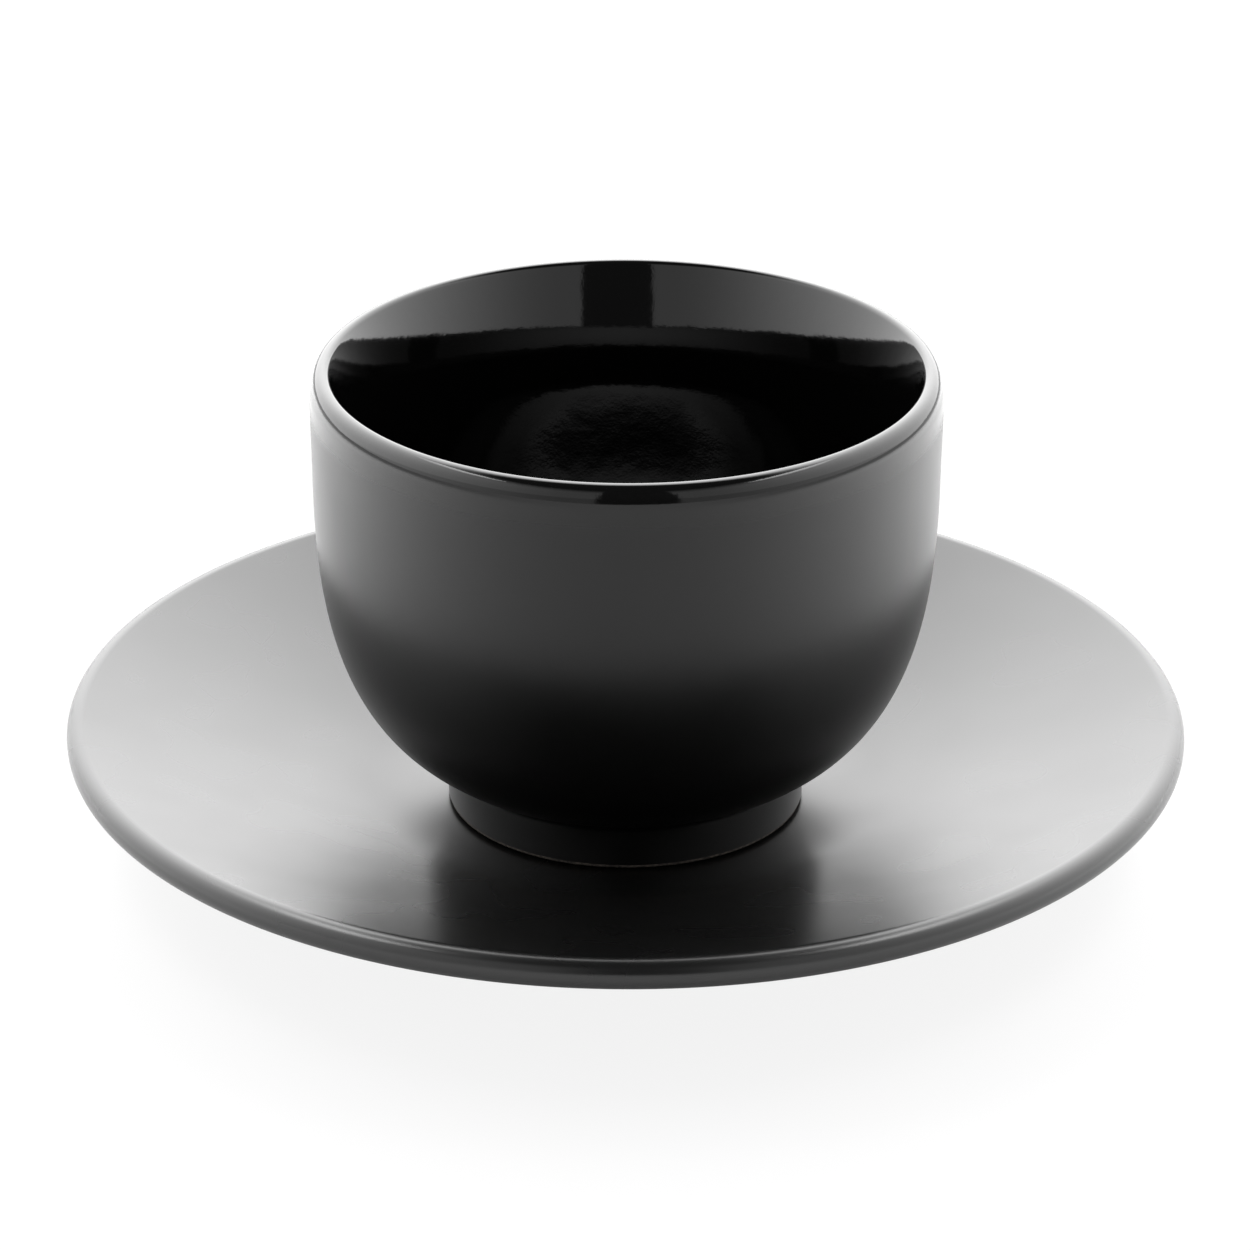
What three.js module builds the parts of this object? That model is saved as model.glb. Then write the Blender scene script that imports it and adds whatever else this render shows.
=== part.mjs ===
// Cappuccino cup without a handle, standing on the flat seat in the middle of its dished saucer.
// Millimetres, +Z up. The origin is on the table, under the middle of the saucer's foot ring.
import * as THREE from 'three';

// Saucer
const SAUCER_DIAMETER = 160;
const SAUCER_WALL = 4.4; // thickness of the body, under the seat and at the rim
const SAUCER_FOOT_DIAMETER = 76; // outside of the ring that it stands on
const SAUCER_FOOT_WIDTH = 4.4; // breadth of that ring at its root
const SAUCER_FOOT_HEIGHT = 5.2; // outside, from the table up to the underside
const SAUCER_FOOT_FILLET = 1.5; // hollow rounding between the ring and the underside
const SAUCER_FOOT_RECESS = 3.2; // depth of the hollow inside the ring
const RIM_RISE = 13.8; // from the seat up to the rim
const SEAT_ROUNDING = 40; // radius of the hollow that leads from the seat to the slope
const SEAT_SLOPE = 16; // degrees, where the slope leaves that hollow
const RIM_SLOPE = 17; // degrees, where the slope meets the rim
const RIM_TOP_RADIUS = 2;
const RIM_UNDER_RADIUS = 2.2;

// Cup
const CUP_DIAMETER = 88.8; // outside, just under the lip
const CUP_HEIGHT = 65.8; // from its foot to the top of the lip
const CUP_FOOT_DIAMETER = 51; // outside of the ring that it stands on
const CUP_FOOT_WIDTH = 3.8; // breadth of that ring at its root
const CUP_FOOT_HEIGHT = 6.9; // from the standing face up to the belly
const CUP_FOOT_FILLET = 1.5; // hollow rounding between the ring and the belly
const CUP_FOOT_RECESS = 3.4; // depth of the hollow inside the ring
const WALL_LENGTH = 15; // upper stretch that is all but upright
const WALL_DRAFT = 0.25; // how much the radius grows over that stretch
const BELLY_ANGLE = 25.7; // degrees over the level, where the belly leaves the foot
const BELLY_FOOT_PULL = 15.7; // how far the curve follows that direction
const BELLY_WALL_PULL = 18.6; // how far it follows the wall further up
const BODY_WALL = 7; // thickness of the upright wall under the thinner lip
const BOTTOM_WALL = 6.6; // thickness of the bottom over the hollow inside the foot
const BOWL_WALL_PULL = 28; // how far the inside follows the upright wall downwards
const BOWL_BOTTOM_PULL = 34; // how far the inside stays level from the middle outwards
const LIP_WIDTH = 2; // from the outside of the wall in to the lip's highest ring
const LIP_DROP = 3.2; // height of the rounded outer shoulder of the lip
const LIP_INNER_RADIUS = 0.9; // rounding from the highest ring to the inside
const LIP_FLARE = 26; // degrees off upright, where the inside leaves the lip

// Between the two
const SEAT_CLEARANCE = 1; // of the flat seat around the cup's foot
const SEAT_GAP = 0.1; // under the cup's foot
const FOOT_ROUNDING = 0.6; // edges of both standing rings

// Fineness of the facets
const TURN_STEPS = 64;
const CURVE_STEPS = 10;
const ROUND_STEPS = 4;

const glaze = new THREE.MeshStandardMaterial({ color: 0x0d0d0d, roughness: 0.36, metalness: 0 });

const radians = THREE.MathUtils.degToRad;
const at = (r, z) => new THREE.Vector2(r, z);

// Point a given distance away from another, in a direction given in degrees over the level
const along = (from, degrees, distance) =>
  at(from.x + distance * Math.cos(radians(degrees)), from.y + distance * Math.sin(radians(degrees)));

// Part of an ellipse, its ends given in degrees
const rounding = (centre, width, height, start, end, steps = ROUND_STEPS) =>
  new THREE.EllipseCurve(centre.x, centre.y, width, height, radians(start), radians(end), end < start)
    .getPoints(steps);

const curve = (start, startPull, endPull, end) =>
  new THREE.CubicBezierCurve(start, startPull, endPull, end).getPoints(CURVE_STEPS);

// Even slope that starts and ends at the given angles and never turns back on itself
function sweep(start, startSlope, end, endSlope) {
  const third = (end.x - start.x) / 3;
  const startPull = at(start.x + third, start.y + third * Math.tan(radians(startSlope)));
  const endPull = at(end.x - third, end.y - third * Math.tan(radians(endSlope)));
  return curve(start, startPull, endPull, end);
}

// Section of a standing ring, from its root on the inside, round the bottom, to its outer edge
function footRing(outerRadius, width, innerHeight) {
  const innerRadius = outerRadius - width;
  return [
    at(innerRadius, innerHeight),
    ...rounding(at(innerRadius + FOOT_ROUNDING, FOOT_ROUNDING), FOOT_ROUNDING, FOOT_ROUNDING, 180, 270),
    ...rounding(at(outerRadius - FOOT_ROUNDING, FOOT_ROUNDING), FOOT_ROUNDING, FOOT_ROUNDING, 270, 360),
  ];
}

// Hollow rounding from the side of a standing ring into the body, which leaves it at an angle over the level
function footFillet(ringRadius, height, radius, angle) {
  const turn = 90 + angle;
  const centre = at(ringRadius + radius, height - radius * Math.sin(radians(turn)));
  return rounding(centre, radius, radius, 180, turn);
}

// Solid of revolution about +Z; the section runs from the axis below, round the outside, to the axis above
function turned(name, section) {
  const points = section.filter((p, i) => i === 0 || p.distanceTo(section[i - 1]) > 1e-6);
  const geometry = new THREE.LatheGeometry(points, TURN_STEPS).rotateX(Math.PI / 2);
  const mesh = new THREE.Mesh(geometry, glaze);
  mesh.name = name;
  return mesh;
}

const seatHeight = SAUCER_FOOT_RECESS + SAUCER_WALL;

function saucer() {
  const rimRadius = SAUCER_DIAMETER / 2;
  const rimHeight = seatHeight + RIM_RISE;
  const footRadius = SAUCER_FOOT_DIAMETER / 2;
  const seatRadius = CUP_FOOT_DIAMETER / 2 + SEAT_CLEARANCE;

  const topCentre = at(rimRadius - RIM_TOP_RADIUS, rimHeight - RIM_TOP_RADIUS);
  const rimTop = along(topCentre, 90 + RIM_SLOPE, RIM_TOP_RADIUS);
  const underCentre = at(rimRadius - RIM_UNDER_RADIUS, rimHeight - SAUCER_WALL + RIM_UNDER_RADIUS);
  const rimUnder = along(underCentre, RIM_SLOPE - 90, RIM_UNDER_RADIUS);

  const hollowCentre = at(seatRadius, seatHeight + SEAT_ROUNDING);
  const hollow = rounding(hollowCentre, SEAT_ROUNDING, SEAT_ROUNDING, 270, 270 + SEAT_SLOPE);
  const slope = sweep(hollow.at(-1), SEAT_SLOPE, rimTop, RIM_SLOPE);
  const fillet = footFillet(footRadius, SAUCER_FOOT_HEIGHT, SAUCER_FOOT_FILLET, SEAT_SLOPE);
  const underside = sweep(fillet.at(-1), SEAT_SLOPE, rimUnder, RIM_SLOPE);

  return turned('saucer', [
    at(0, SAUCER_FOOT_RECESS),
    ...footRing(footRadius, SAUCER_FOOT_WIDTH, SAUCER_FOOT_RECESS),
    ...fillet,
    ...underside,
    ...rounding(underCentre, RIM_UNDER_RADIUS, RIM_UNDER_RADIUS, RIM_SLOPE - 90, 0),
    ...rounding(topCentre, RIM_TOP_RADIUS, RIM_TOP_RADIUS, 0, 90 + RIM_SLOPE),
    ...slope.reverse(),
    ...hollow.reverse(),
    at(0, seatHeight),
  ]);
}

function cup() {
  const outerRadius = CUP_DIAMETER / 2;
  const footRadius = CUP_FOOT_DIAMETER / 2;

  const wallTop = at(outerRadius, CUP_HEIGHT - LIP_DROP);
  const wallFoot = at(outerRadius - WALL_DRAFT, wallTop.y - WALL_LENGTH);
  const fillet = footFillet(footRadius, CUP_FOOT_HEIGHT, CUP_FOOT_FILLET, BELLY_ANGLE);
  const bellyFoot = fillet.at(-1);
  const wallAngle = THREE.MathUtils.radToDeg(Math.atan2(WALL_LENGTH, WALL_DRAFT));
  const belly = curve(
    bellyFoot,
    along(bellyFoot, BELLY_ANGLE, BELLY_FOOT_PULL),
    along(wallFoot, wallAngle + 180, BELLY_WALL_PULL),
    wallFoot,
  );

  const crestRadius = outerRadius - LIP_WIDTH;
  const shoulder = rounding(at(crestRadius, wallTop.y), LIP_WIDTH, LIP_DROP, 0, 90);
  const lipCentre = at(crestRadius, CUP_HEIGHT - LIP_INNER_RADIUS);
  const lipInside = rounding(lipCentre, LIP_INNER_RADIUS, LIP_INNER_RADIUS, 90, 180 - LIP_FLARE);

  // The flare is one arc, which leaves the lip at its angle and runs out into the upright inner wall.
  const flareTop = along(lipCentre, 180 - LIP_FLARE, LIP_INNER_RADIUS);
  const innerRadius = outerRadius - BODY_WALL;
  const flareRadius = (flareTop.x - innerRadius) / (1 - Math.cos(radians(LIP_FLARE)));
  const flareCentre = along(flareTop, -LIP_FLARE, flareRadius);
  const flare = rounding(flareCentre, flareRadius, flareRadius, 180 - LIP_FLARE, 180, CURVE_STEPS);
  const flareFoot = flare.at(-1);

  const bottom = at(0, CUP_FOOT_RECESS + BOTTOM_WALL);
  const bowl = curve(
    flareFoot,
    along(flareFoot, 270, BOWL_WALL_PULL),
    along(bottom, 0, BOWL_BOTTOM_PULL),
    bottom,
  );

  const mesh = turned('cup', [
    at(0, CUP_FOOT_RECESS),
    ...footRing(footRadius, CUP_FOOT_WIDTH, CUP_FOOT_RECESS),
    ...fillet,
    ...belly,
    ...shoulder,
    ...lipInside,
    ...flare,
    ...bowl,
  ]);
  mesh.position.z = seatHeight + SEAT_GAP;
  return mesh;
}

const cupWithSaucer = new THREE.Group();
cupWithSaucer.add(saucer(), cup());

export default cupWithSaucer;
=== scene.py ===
# Black glazed cappuccino cup without a handle, standing on the flat seat of its dished saucer.
import math

import bpy
from mathutils import Matrix, Vector


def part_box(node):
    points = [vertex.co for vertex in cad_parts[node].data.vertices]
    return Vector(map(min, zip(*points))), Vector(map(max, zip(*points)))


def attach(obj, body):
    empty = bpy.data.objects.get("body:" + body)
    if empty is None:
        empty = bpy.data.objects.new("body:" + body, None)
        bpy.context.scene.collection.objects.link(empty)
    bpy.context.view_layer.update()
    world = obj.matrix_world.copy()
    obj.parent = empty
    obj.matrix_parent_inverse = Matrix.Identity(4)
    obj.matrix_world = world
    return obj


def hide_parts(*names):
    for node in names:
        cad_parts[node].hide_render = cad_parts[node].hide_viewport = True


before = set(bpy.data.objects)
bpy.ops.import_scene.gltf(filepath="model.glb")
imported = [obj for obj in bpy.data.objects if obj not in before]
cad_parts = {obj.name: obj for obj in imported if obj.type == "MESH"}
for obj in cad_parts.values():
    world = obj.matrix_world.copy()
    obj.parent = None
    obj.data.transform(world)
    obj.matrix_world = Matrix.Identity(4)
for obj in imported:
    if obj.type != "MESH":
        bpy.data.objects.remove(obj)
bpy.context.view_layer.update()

MM = 0.001

# Saucer, in millimetres; its diameter and its rim's height come from the frame
SAUCER_WALL = 4.4
SAUCER_FOOT_RADIUS = 38
SAUCER_FOOT_WIDTH = 4.4
SAUCER_FOOT_HEIGHT = 5.2
SAUCER_FOOT_FILLET = 1.5
SAUCER_FOOT_RECESS = 3.2
SEAT_ROUNDING = 40  # radius of the hollow round the seat
SEAT_SLOPE = 16  # degrees, where the slope leaves that hollow
RIM_SLOPE = 17  # degrees, where the slope meets the rim
RIM_TOP_RADIUS = 2
RIM_UNDER_RADIUS = 2.2

# Cup, in millimetres over the face that it stands on; its diameter and height come from the frame
CUP_FOOT_RADIUS = 25.5
CUP_FOOT_WIDTH = 3.8
CUP_FOOT_HEIGHT = 6.9
CUP_FOOT_FILLET = 1.5
CUP_FOOT_RECESS = 3.4
WALL_LENGTH = 15
WALL_DRAFT = 0.25
BELLY_ANGLE = 25.7  # degrees over the level, where the belly leaves the foot
BELLY_FOOT_PULL = 15.7
BELLY_WALL_PULL = 18.6
BODY_WALL = 7
BOTTOM_WALL = 6.6
BOWL_WALL_PULL = 28
BOWL_BOTTOM_PULL = 34
LIP_WIDTH = 2
LIP_DROP = 3.2
LIP_INNER_RADIUS = 0.9
LIP_FLARE = 26  # degrees off upright, where the inside leaves the lip
GLOSS_LINE = 30  # degrees round the lip's shoulder, where the glossy glaze ends

SEAT_CLEARANCE = 1  # of the flat seat around the cup's foot
FOOT_ROUNDING = 0.6  # edges of both standing rings

# Fineness of the skins
STEPS_ROUND = 256
FACET_LENGTH = 0.75  # millimetres along the section
LEAST_STEPS = 8  # along a short stretch
SPIN_RADIUS = 0.1  # metres, of the circle that carries the sections round
WELD = 0.002  # millimetres within which the rings are joined

# Finishes, by the number that each face of a turned piece carries
SATIN, GLOSS, CLAY = range(3)


def linear(colour):
    """sRGB hex colour as the linear RGBA that the shaders take."""
    parts = [int(colour[i:i + 2], 16) / 255 for i in (1, 3, 5)]
    return [p / 12.92 if p <= 0.04045 else ((p + 0.055) / 1.055) ** 2.4 for p in parts] + [1]


def add(tree, kind, sockets=None, **settings):
    """Add one node: its settings, then each input as a link from another node or as a fixed value."""
    node = tree.nodes.new(kind)
    for name, value in settings.items():
        setattr(node, name, value)
    for name, value in (sockets or {}).items():
        if isinstance(value, bpy.types.NodeSocket):
            tree.links.new(value, node.inputs[name])
        else:
            node.inputs[name].default_value = value
    return node


# Sections: points are (radius, height) in millimetres, and a stretch is a cubic curve of four points

def along(start, degrees, distance):
    """Point at a distance from another, in a direction given in degrees over the level."""
    return Vector((math.cos(math.radians(degrees)), math.sin(math.radians(degrees)))) * distance + start


def curve(start, start_pull, end_pull, end):
    return [Vector(p) for p in (start, start_pull, end_pull, end)]


def straight(start, end):
    start, end = Vector(start), Vector(end)
    return curve(start, start.lerp(end, 1 / 3), start.lerp(end, 2 / 3), end)


def sweep(start, start_slope, end, end_slope):
    """Even slope from one point to another that starts and ends at the given angles."""
    third = (end[0] - start[0]) / 3
    start_pull = (start[0] + third, start[1] + third * math.tan(math.radians(start_slope)))
    end_pull = (end[0] - third, end[1] - third * math.tan(math.radians(end_slope)))
    return curve(start, start_pull, end_pull, end)


def rounding(centre, width, height, start, end):
    """Part of an ellipse, at most a quarter of it, between two angles in degrees."""
    pull = math.tan(math.radians(end - start) / 4) * 4 / 3
    points = []
    for angle, away in ((math.radians(start), pull), (math.radians(end), -pull)):
        point = Vector((centre[0] + width * math.cos(angle), centre[1] + height * math.sin(angle)))
        points.append((point, point + away * Vector((-width * math.sin(angle), height * math.cos(angle)))))
    (first, first_pull), (last, last_pull) = points
    return curve(first, first_pull, last_pull, last)


def foot_fillet(ring_radius, height, radius, angle):
    """Hollow rounding from the body, which comes in at an angle over the level, into the side of a ring."""
    turn = 90 + angle
    centre = (ring_radius + radius, height - radius * math.sin(math.radians(turn)))
    return rounding(centre, radius, radius, turn, 180)


def foot_ring(outer_radius, width, inner_height, outer_height):
    """Standing ring, from its outer root down, round the bottom and up to its root on the inside."""
    inner_radius = outer_radius - width
    outer_centre = (outer_radius - FOOT_ROUNDING, FOOT_ROUNDING)
    inner_centre = (inner_radius + FOOT_ROUNDING, FOOT_ROUNDING)
    outer_edge = rounding(outer_centre, FOOT_ROUNDING, FOOT_ROUNDING, 0, -90)
    inner_edge = rounding(inner_centre, FOOT_ROUNDING, FOOT_ROUNDING, -90, -180)
    return {
        "foot side": (straight((outer_radius, outer_height), outer_edge[0]), SATIN),
        "foot outer edge": (outer_edge, CLAY),
        "standing face": (straight(outer_edge[-1], inner_edge[0]), CLAY),
        "foot inner edge": (inner_edge, CLAY),
        "foot inside": (straight(inner_edge[-1], (inner_radius, inner_height)), SATIN),
        "hollow": (straight((inner_radius, inner_height), (0, inner_height)), SATIN),
    }


def saucer_section(rim_radius, rim_height):
    """From the middle of the seat out over the slope and the rim, and back under to the foot."""
    seat_height = SAUCER_FOOT_RECESS + SAUCER_WALL
    seat_edge = (CUP_FOOT_RADIUS + SEAT_CLEARANCE, seat_height)
    hollow_centre = (seat_edge[0], seat_height + SEAT_ROUNDING)
    hollow = rounding(hollow_centre, SEAT_ROUNDING, SEAT_ROUNDING, 270, 270 + SEAT_SLOPE)
    top_centre = (rim_radius - RIM_TOP_RADIUS, rim_height - RIM_TOP_RADIUS)
    under_centre = (rim_radius - RIM_UNDER_RADIUS, rim_height - SAUCER_WALL + RIM_UNDER_RADIUS)
    rim_inner = rounding(top_centre, RIM_TOP_RADIUS, RIM_TOP_RADIUS, 90 + RIM_SLOPE, 90)
    rim_top = rounding(top_centre, RIM_TOP_RADIUS, RIM_TOP_RADIUS, 90, 0)
    rim_under = rounding(under_centre, RIM_UNDER_RADIUS, RIM_UNDER_RADIUS, 0, RIM_SLOPE - 90)
    fillet = foot_fillet(SAUCER_FOOT_RADIUS, SAUCER_FOOT_HEIGHT, SAUCER_FOOT_FILLET, SEAT_SLOPE)
    return {
        "seat": (straight((0, seat_height), seat_edge), SATIN),
        "seat hollow": (hollow, SATIN),
        "slope": (sweep(hollow[-1], SEAT_SLOPE, rim_inner[0], RIM_SLOPE), SATIN),
        "rim inner": (rim_inner, SATIN),
        "rim top": (rim_top, SATIN),
        "rim edge": (straight(rim_top[-1], rim_under[0]), SATIN),
        "rim under": (rim_under, SATIN),
        "underside": (sweep(rim_under[-1], RIM_SLOPE, fillet[0], SEAT_SLOPE), SATIN),
        "foot fillet": (fillet, SATIN),
        **foot_ring(SAUCER_FOOT_RADIUS, SAUCER_FOOT_WIDTH, SAUCER_FOOT_RECESS, fillet[-1].y),
    }


def cup_section(outer_radius, height):
    """From the middle of the bowl up the inside, over the lip, and down the outside to the foot."""
    crest_radius = outer_radius - LIP_WIDTH
    inner_radius = outer_radius - BODY_WALL
    lip_centre = (crest_radius, height - LIP_INNER_RADIUS)
    lip_inside = rounding(lip_centre, LIP_INNER_RADIUS, LIP_INNER_RADIUS, 180 - LIP_FLARE, 90)
    flare_top = lip_inside[0]
    flare_radius = (flare_top.x - inner_radius) / (1 - math.cos(math.radians(LIP_FLARE)))
    flare_centre = along(flare_top, -LIP_FLARE, flare_radius)
    flare = rounding(flare_centre, flare_radius, flare_radius, 180, 180 - LIP_FLARE)
    flare_foot = flare[0]
    bottom = Vector((0, CUP_FOOT_RECESS + BOTTOM_WALL))
    bottom_pull = along(bottom, 0, BOWL_BOTTOM_PULL)
    flare_pull = along(flare_foot, 270, BOWL_WALL_PULL)

    wall_top = Vector((outer_radius, height - LIP_DROP))
    wall_foot = wall_top - Vector((WALL_DRAFT, WALL_LENGTH))
    wall_angle = math.degrees(math.atan2(WALL_LENGTH, WALL_DRAFT))
    fillet = foot_fillet(CUP_FOOT_RADIUS, CUP_FOOT_HEIGHT, CUP_FOOT_FILLET, BELLY_ANGLE)
    belly_foot = fillet[0]
    shoulder_centre = (crest_radius, wall_top.y)
    wall_pull = along(wall_foot, wall_angle + 180, BELLY_WALL_PULL)
    foot_pull = along(belly_foot, BELLY_ANGLE, BELLY_FOOT_PULL)
    return {
        "bowl": (curve(bottom, bottom_pull, flare_pull, flare_foot), GLOSS),
        "flare": (flare, GLOSS),
        "lip inside": (lip_inside, GLOSS),
        "lip shoulder": (rounding(shoulder_centre, LIP_WIDTH, LIP_DROP, 90, GLOSS_LINE), GLOSS),
        "shoulder foot": (rounding(shoulder_centre, LIP_WIDTH, LIP_DROP, GLOSS_LINE, 0), SATIN),
        "wall": (straight(wall_top, wall_foot), SATIN),
        "belly": (curve(wall_foot, wall_pull, foot_pull, belly_foot), SATIN),
        "foot fillet": (fillet, SATIN),
        **foot_ring(CUP_FOOT_RADIUS, CUP_FOOT_WIDTH, CUP_FOOT_RECESS, fillet[-1].y),
    }


# Turned skins

STRETCH_POINTS = ("Start", "Start Handle", "End Handle", "End")


def turned_stretch_tree():
    """Tree that carries one stretch of a section round the upright axis, as a ring of faces."""
    tree = bpy.data.node_groups.new("turned stretch", "GeometryNodeTree")
    for point in STRETCH_POINTS:
        tree.interface.new_socket(point, socket_type="NodeSocketVector")
    for count in ("Steps Along", "Steps Round", "Finish"):
        tree.interface.new_socket(count, socket_type="NodeSocketInt")
    tree.interface.new_socket("Ring", in_out="OUTPUT", socket_type="NodeSocketGeometry")
    given = add(tree, "NodeGroupInput").outputs
    stretch = add(tree, "GeometryNodeCurvePrimitiveBezierSegment", {
        "Resolution": given["Steps Along"],
        **{point: given[point] for point in STRETCH_POINTS},
    })
    # The sweep takes a section's x outwards from the circle and its y down.
    laid = add(tree, "GeometryNodeTransform", {
        "Geometry": stretch.outputs["Curve"],
        "Translation": (-SPIN_RADIUS, 0, 0),
        "Rotation": (math.pi / 2, 0, 0),
    })
    circle = add(tree, "GeometryNodeCurvePrimitiveCircle", {
        "Resolution": given["Steps Round"],
        "Radius": SPIN_RADIUS,
    })
    ring = add(tree, "GeometryNodeCurveToMesh", {
        "Curve": circle.outputs["Curve"],
        "Profile Curve": laid.outputs["Geometry"],
    })
    marked = add(tree, "GeometryNodeStoreNamedAttribute", {
        "Geometry": ring.outputs["Mesh"],
        "Name": "finish",
        "Value": given["Finish"],
    }, data_type="INT", domain="FACE")
    add(tree, "NodeGroupOutput", {"Ring": marked.outputs["Geometry"]})
    return tree


def turned_piece_tree(name, section, stretch_tree, finishes):
    """Tree that joins the rings of a section's stretches into one closed skin and gives each its finish."""
    tree = bpy.data.node_groups.new(name, "GeometryNodeTree")
    tree.interface.new_socket("Steps Round", socket_type="NodeSocketInt")
    tree.interface.new_socket("Base Height", socket_type="NodeSocketFloat")
    for stretch in section:
        for point in STRETCH_POINTS:
            tree.interface.new_socket(f"{stretch} {point}", socket_type="NodeSocketVector")
        tree.interface.new_socket(f"{stretch} Steps", socket_type="NodeSocketInt")
    tree.interface.new_socket("Skin", in_out="OUTPUT", socket_type="NodeSocketGeometry")
    given = add(tree, "NodeGroupInput").outputs
    joined = add(tree, "GeometryNodeJoinGeometry")
    for stretch, (_, finish) in section.items():
        ring = add(tree, "GeometryNodeGroup", node_tree=stretch_tree)
        for point in STRETCH_POINTS:
            tree.links.new(given[f"{stretch} {point}"], ring.inputs[point])
        tree.links.new(given[f"{stretch} Steps"], ring.inputs["Steps Along"])
        tree.links.new(given["Steps Round"], ring.inputs["Steps Round"])
        ring.inputs["Finish"].default_value = finish
        tree.links.new(ring.outputs["Ring"], joined.inputs["Geometry"])
    welded = add(tree, "GeometryNodeMergeByDistance", {
        "Geometry": joined.outputs["Geometry"],
        "Distance": WELD * MM,
    })
    smooth = add(tree, "GeometryNodeSetShadeSmooth", {"Geometry": welded.outputs["Geometry"]})
    lift = add(tree, "ShaderNodeCombineXYZ", {"Z": given["Base Height"]})
    placed = add(tree, "GeometryNodeSetPosition", {
        "Geometry": smooth.outputs["Geometry"],
        "Offset": lift.outputs["Vector"],
    })
    whole = add(tree, "GeometryNodeRealizeInstances", {"Geometry": placed.outputs["Geometry"]})
    worn = add(tree, "GeometryNodeInputNamedAttribute", {"Name": "finish"}, data_type="INT")
    skin = whole.outputs["Geometry"]
    for finish, material in enumerate(finishes):
        here = add(tree, "FunctionNodeCompare", data_type="INT", operation="EQUAL")
        first, second = (s for s in here.inputs if s.enabled)
        tree.links.new(worn.outputs["Attribute"], first)
        second.default_value = finish
        skin = add(tree, "GeometryNodeSetMaterial", {
            "Geometry": skin,
            "Selection": here.outputs["Result"],
            "Material": material,
        }).outputs["Geometry"]
    add(tree, "NodeGroupOutput", {"Skin": skin})
    return tree


def steps_for(points):
    """Facets along a stretch, from the length of the lines between its points."""
    length = sum((b - a).length for a, b in zip(points, points[1:]))
    return max(LEAST_STEPS, math.ceil(length / FACET_LENGTH))


def turned_piece(name, section, base_height, stretch_tree, finishes):
    """Run a piece's tree with its sizes in metres and keep the result as a plain mesh."""
    tree = turned_piece_tree(name, section, stretch_tree, finishes)
    sizes = {"Steps Round": STEPS_ROUND, "Base Height": base_height}
    for stretch, (points, _) in section.items():
        for point, place in zip(STRETCH_POINTS, points):
            sizes[f"{stretch} {point}"] = (place.x * MM, 0.0, place.y * MM)
        sizes[f"{stretch} Steps"] = steps_for(points)
    piece = bpy.data.objects.new(name, bpy.data.meshes.new(name))
    bpy.context.scene.collection.objects.link(piece)
    modifier = piece.modifiers.new("turned", "NODES")
    modifier.node_group = tree
    for socket in tree.interface.items_tree:
        if socket.in_out == "INPUT":
            modifier[socket.identifier] = sizes[socket.name]
    made = piece.evaluated_get(bpy.context.evaluated_depsgraph_get())
    piece.data = bpy.data.meshes.new_from_object(made)
    piece.modifiers.remove(modifier)
    return piece


# Finishes

SAUCER_DULLNESS = 0.28  # roughness of the satin glaze
SAUCER_IOR = 1.58
CUP_DULLNESS = 0.32
CUP_IOR = 1.44
CLOUDING = 0.02  # how far that roughness varies
GLOSS_ROUGHNESS = 0.06
GLOSS_IOR = 1.54
CLEARING = 5  # millimetres over which the satin glaze clears up under the lip
CLAY_ROUGHNESS = 0.85
NOISE_RANGE = (0.2, 0.8)  # where nearly all of a noise lies

# Patterns in the finishes: size of one lump and depth of the relief, in millimetres
CLOUD_SIZE = 14
CRYSTAL_SIZE, CRYSTAL_DEPTH = 0.5, 0.002  # drawn coarser than the real ones, so that they show
RIPPLE_SIZE, RIPPLE_DEPTH = 4, 0.02
PINPRICK_SIZE, PINPRICK_DEPTH = 0.4, 0.004
GRIT_SIZE, GRIT_DEPTH = 0.5, 0.05
GRIT_RANGE = (0.35, 0.68)  # of its noise, from the darkest to the palest speck


def new_material(name):
    """Material with its surface shader and the object's own coordinates."""
    material = bpy.data.materials.new(name)
    material.use_nodes = True
    tree = material.node_tree
    shader = tree.nodes["Principled BSDF"]
    place = add(tree, "ShaderNodeTexCoord").outputs["Object"]
    return material, tree, shader, place


def grain(tree, place, size, detail=2):
    """Noise whose lumps are about the given size in millimetres."""
    noise = {"Vector": place, "Scale": 1 / (size * MM), "Detail": detail}
    return add(tree, "ShaderNodeTexNoise", noise).outputs["Fac"]


def between(tree, value, low, high):
    """Spread the middle of a noise over a range."""
    return add(tree, "ShaderNodeMapRange", {
        "Value": value,
        "From Min": NOISE_RANGE[0],
        "From Max": NOISE_RANGE[1],
        "To Min": low,
        "To Max": high,
    }).outputs["Result"]


def relief(tree, value, depth, under=None):
    """Normals of a relief of the given depth in millimetres, on top of another relief."""
    bump = add(tree, "ShaderNodeBump", {"Height": value, "Strength": 1, "Distance": depth * MM})
    if under:
        tree.links.new(under, bump.inputs["Normal"])
    return bump.outputs["Normal"]


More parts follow.
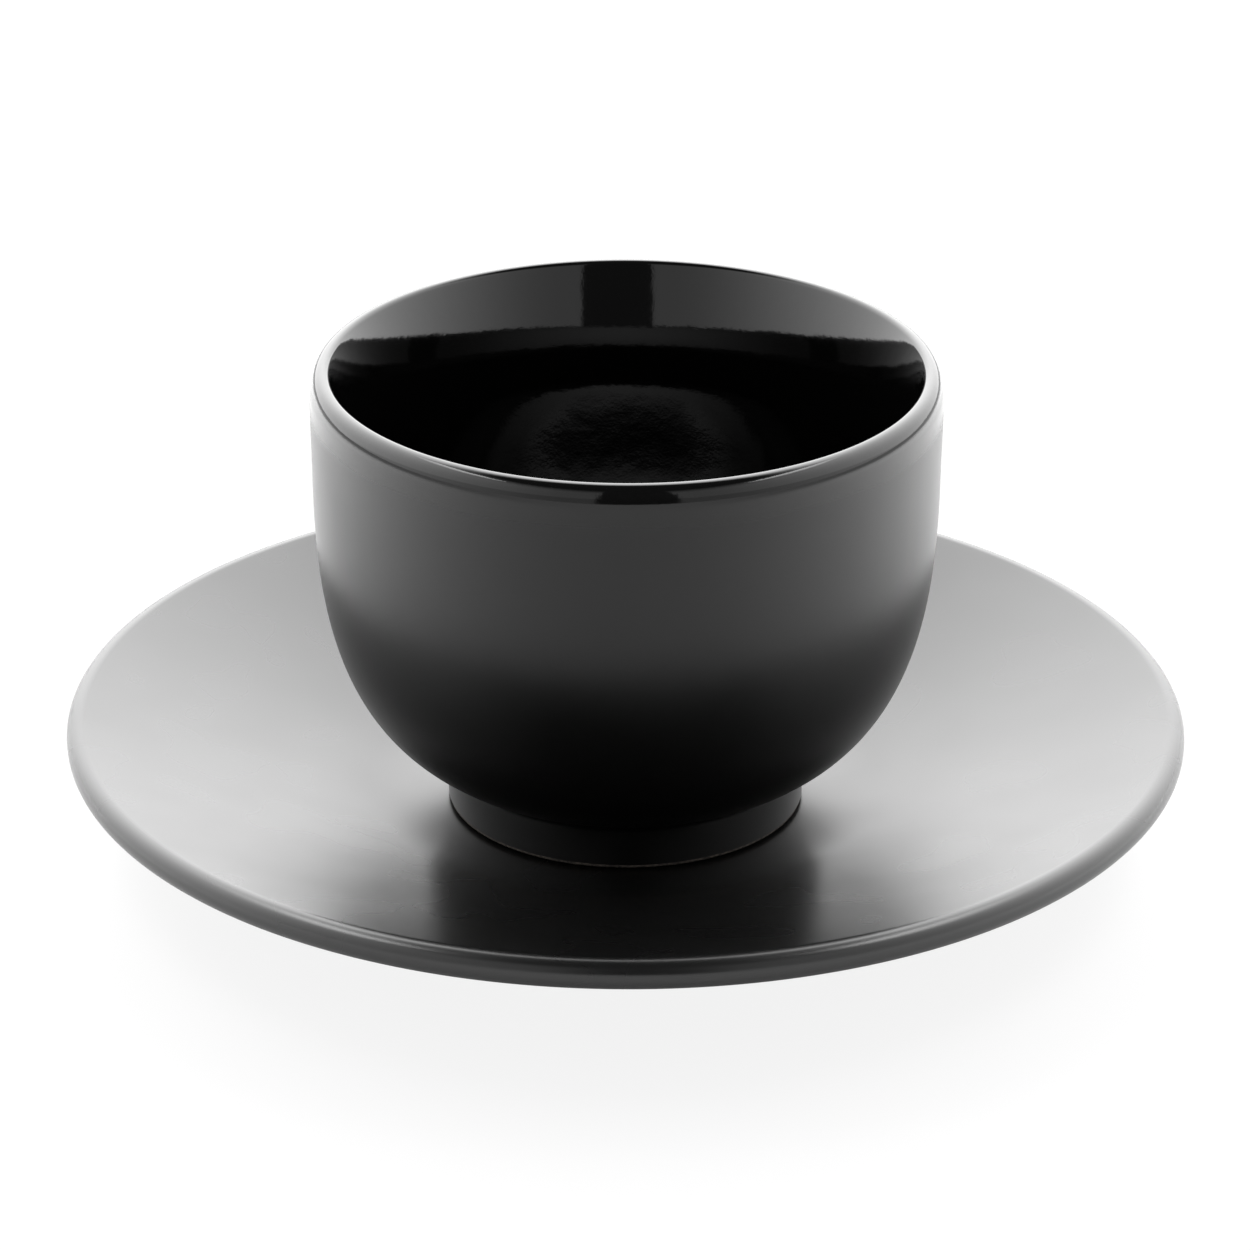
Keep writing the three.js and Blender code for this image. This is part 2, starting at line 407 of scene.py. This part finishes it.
def satin_black_glaze(name, dullness, ior, gloss_height=None):
    """Satin iron-black stoneware glaze: soft wide reflections, clouded a little where it lies thicker,
    with a fine sparkle at their edges from the tiny crystals in its skin. It clears up towards the glossy
    glaze, where that begins at a height in metres."""
    material, tree, shader, place = new_material(name)
    clouds = grain(tree, place, CLOUD_SIZE, 1)
    roughness = between(tree, clouds, dullness - CLOUDING, dullness + CLOUDING)
    if gloss_height:
        height = add(tree, "ShaderNodeSeparateXYZ", {"Vector": place}).outputs["Z"]
        roughness = add(tree, "ShaderNodeMapRange", {
            "Value": height,
            "From Min": gloss_height - CLEARING * MM,
            "From Max": gloss_height,
            "To Min": roughness,
            "To Max": GLOSS_ROUGHNESS,
        }).outputs["Result"]
    tree.links.new(roughness, shader.inputs["Roughness"])
    crystals = relief(tree, grain(tree, place, CRYSTAL_SIZE), CRYSTAL_DEPTH)
    tree.links.new(crystals, shader.inputs["Normal"])
    shader.inputs["Base Color"].default_value = linear("#040404")
    shader.inputs["IOR"].default_value = ior
    return material


def glossy_black_glaze():
    """Glossy black liner glaze: clear mirror-like reflections, wavering over slight ripples and pinpricks."""
    material, tree, shader, place = new_material("glossy_black_glaze")
    ripples = relief(tree, grain(tree, place, RIPPLE_SIZE), RIPPLE_DEPTH)
    pinpricks = grain(tree, place, PINPRICK_SIZE)
    tree.links.new(relief(tree, pinpricks, PINPRICK_DEPTH, ripples), shader.inputs["Normal"])
    pitted = between(tree, pinpricks, GLOSS_ROUGHNESS - CLOUDING, GLOSS_ROUGHNESS + CLOUDING)
    tree.links.new(pitted, shader.inputs["Roughness"])
    shader.inputs["Base Color"].default_value = linear("#030303")
    shader.inputs["IOR"].default_value = GLOSS_IOR
    return material


def bare_stoneware():
    """Unglazed dark stoneware, ground flat: dry and matt, with darker and paler specks of grit."""
    material, tree, shader, place = new_material("bare_stoneware")
    grit = grain(tree, place, GRIT_SIZE, 4)
    specks = add(tree, "ShaderNodeValToRGB", {"Fac": grit})
    stops = zip(specks.color_ramp.elements, GRIT_RANGE, ("#211e1c", "#5a534c"))
    for stop, position, colour in stops:
        stop.position = position
        stop.color = linear(colour)
    tree.links.new(specks.outputs["Color"], shader.inputs["Base Color"])
    tree.links.new(relief(tree, grit, GRIT_DEPTH), shader.inputs["Normal"])
    shader.inputs["Roughness"].default_value = CLAY_ROUGHNESS
    return material


gloss, clay = glossy_black_glaze(), bare_stoneware()
stretch_tree = turned_stretch_tree()

saucer_low, saucer_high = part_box("saucer")
saucer_form = saucer_section(saucer_high.x / MM, saucer_high.z / MM)
saucer_satin = satin_black_glaze("satin_black_glaze", SAUCER_DULLNESS, SAUCER_IOR)
saucer = turned_piece("glazed_saucer", saucer_form, saucer_low.z, stretch_tree, [saucer_satin, gloss, clay])
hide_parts("saucer")
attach(saucer, "saucer")

cup_low, cup_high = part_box("cup")
cup_form = cup_section(cup_high.x / MM, (cup_high.z - cup_low.z) / MM)
gloss_line = cup_low.z + cup_form["shoulder foot"][0][0].y * MM
cup_satin = satin_black_glaze("dull_satin_black_glaze", CUP_DULLNESS, CUP_IOR, gloss_line)
cup = turned_piece("glazed_cup", cup_form, cup_low.z, stretch_tree, [cup_satin, gloss, clay])
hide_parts("cup")
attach(cup, "cup")


# Floor, light and camera

FLOOR_SIZE = 8  # metres
FLOOR_GLOW = 0.87  # share of its own white that the floor shows; the rest takes the object's shadow
FLOOR_SHINE = 0.1  # the same share where it is seen in a reflection

# White tent round the table: directions in degrees from the camera's side, heights in degrees over the table
TENT_TURN = 4  # its opening for the camera lies a little to the right
TENT_OPENING = 14.5  # half of it
TENT_EDGE = 1  # how far the opening's edge spreads to either side
TENT_FRONT = 0.72  # brightness beside the opening
TENT_BACK = 6
TENT_RISE = (20, 180)  # from where to where the brightness grows
TENT_LOW_SHARE = 0.58  # share of it at the height of the table, behind
TENT_LOW_TOP = 35  # height from which it is all there
TENT_TOP_FRONT = 50  # where the roof begins
TENT_TOP_BACK = 60
TENT_SOFTNESS = 12  # how far that edge spreads
TENT_ROOF = 0.08  # brightness there and in the opening

# Lamps that wash the floor on both sides, in metres
WASH_ASIDE = 0.31
WASH_BACK = 0.17
WASH_HEIGHT = 0.3
WASH_WIDTH = 0.3
WASH_DEPTH = 0.6
WASH_BRIGHTNESS = 5
WASH_SPREAD = 80  # degrees

# Camera, in millimetres from the table under the middle of the saucer
CAMERA_BACK = 695.8
CAMERA_HEIGHT = 348.6
CAMERA_DOWN = 24.345  # degrees
CAMERA_TURN = 0.011
CAMERA_ROLL = 0.2
LENS = 154.13  # focal length
SENSOR = 36  # width


def pale_floor():
    """White paper floor: it shows white and still takes a soft shadow."""
    material = bpy.data.materials.new("white_paper")
    material.use_nodes = True
    tree = material.node_tree
    tree.nodes.clear()
    path = add(tree, "ShaderNodeLightPath").outputs
    straight_on = add(tree, "ShaderNodeMath", {0: path["Is Camera Ray"], 1: FLOOR_GLOW}, operation="MULTIPLY")
    mirrored = add(tree, "ShaderNodeMath", {
        0: path["Is Glossy Ray"],
        1: path["Is Transmission Ray"],
    }, operation="MAXIMUM")
    share = add(tree, "ShaderNodeMath", {
        0: mirrored.outputs[0],
        1: FLOOR_SHINE,
        2: straight_on.outputs[0],
    }, operation="MULTIPLY_ADD")
    paper = add(tree, "ShaderNodeBsdfDiffuse", {"Color": linear("#cccccc")})
    white = add(tree, "ShaderNodeEmission", {"Strength": 1})
    mixed = add(tree, "ShaderNodeMixShader", {
        0: share.outputs[0],
        1: paper.outputs["BSDF"],
        2: white.outputs["Emission"],
    })
    add(tree, "ShaderNodeOutputMaterial", {"Surface": mixed.outputs["Shader"]})
    bpy.ops.mesh.primitive_plane_add(size=FLOOR_SIZE)
    floor = bpy.context.object
    floor.name = "floor"
    floor.data.materials.append(material)
    return floor


def floor_wash(name, aside):
    """Soft rectangular lamp that faces straight down and isn't seen by the camera itself."""
    light = bpy.data.lights.new(name, "AREA")
    light.shape = "RECTANGLE"
    light.size, light.size_y = WASH_WIDTH, WASH_DEPTH
    light.energy = WASH_BRIGHTNESS * WASH_WIDTH * WASH_DEPTH * math.pi
    light.spread = math.radians(WASH_SPREAD)
    lamp = bpy.data.objects.new(name, light)
    bpy.context.scene.collection.objects.link(lamp)
    lamp.location = aside, WASH_BACK, WASH_HEIGHT
    lamp.visible_camera = False


def tent():
    """World that is a white tent, bright behind and dim in front, under a dark roof."""
    world = bpy.data.worlds.new("tent")
    world.use_nodes = True
    tree = world.node_tree
    tree.nodes.clear()

    def ramp(value, start, end, low, high):
        spread = {"Value": value, "From Min": start, "From Max": end, "To Min": low, "To Max": high}
        return add(tree, "ShaderNodeMapRange", spread, interpolation_type="SMOOTHSTEP").outputs["Result"]

    def compute(operation, first, second=0):
        return add(tree, "ShaderNodeMath", {0: first, 1: second}, operation=operation).outputs[0]

    towards = add(tree, "ShaderNodeTexCoord").outputs["Generated"]
    turned_back = add(tree, "ShaderNodeVectorRotate", {
        "Vector": towards,
        "Angle": -math.radians(TENT_TURN),
    }, rotation_type="Z_AXIS").outputs["Vector"]
    x, y, z = add(tree, "ShaderNodeSeparateXYZ", {"Vector": turned_back}).outputs
    direction = compute("DEGREES", compute("ABSOLUTE", compute("ARCTAN2", x, compute("MULTIPLY", y, -1))))
    height = compute("DEGREES", compute("ARCSINE", z))
    cloth = ramp(direction, *TENT_RISE, TENT_FRONT, TENT_BACK)
    opened = ramp(direction, TENT_OPENING - TENT_EDGE, TENT_OPENING + TENT_EDGE, 0, 1)
    top = ramp(direction, 0, 180, TENT_TOP_FRONT, TENT_TOP_BACK)
    low = ramp(height, 0, TENT_LOW_TOP, ramp(direction, *TENT_RISE, 1, TENT_LOW_SHARE), 1)
    under_roof = ramp(compute("SUBTRACT", height, top), -TENT_SOFTNESS, TENT_SOFTNESS, 1, 0)
    lit = compute("MULTIPLY", compute("MULTIPLY", cloth, low), compute("MULTIPLY", opened, under_roof))
    shown = add(tree, "ShaderNodeBackground", {
        "Color": linear("#ffffff"),
        "Strength": compute("MAXIMUM", lit, TENT_ROOF),
    })
    add(tree, "ShaderNodeOutputWorld", {"Surface": shown.outputs["Background"]})
    return world


def camera():
    """Long lens that looks down on the object from the tent's opening."""
    data = bpy.data.cameras.new("camera")
    data.sensor_width = SENSOR
    data.lens = LENS
    eye = bpy.data.objects.new("camera", data)
    bpy.context.scene.collection.objects.link(eye)
    turn = Matrix.Rotation(math.radians(CAMERA_TURN), 4, "Z")
    tilt = Matrix.Rotation(math.radians(90 - CAMERA_DOWN), 4, "X")
    roll = Matrix.Rotation(math.radians(CAMERA_ROLL), 4, "Z")
    eye.matrix_world = Matrix.Translation((0, -CAMERA_BACK * MM, CAMERA_HEIGHT * MM)) @ turn @ tilt @ roll
    bpy.context.scene.camera = eye


pale_floor()
floor_wash("wash left", -WASH_ASIDE)
floor_wash("wash right", WASH_ASIDE)
bpy.context.scene.world = tent()
camera()
bpy.context.scene.view_settings.view_transform = "Standard"
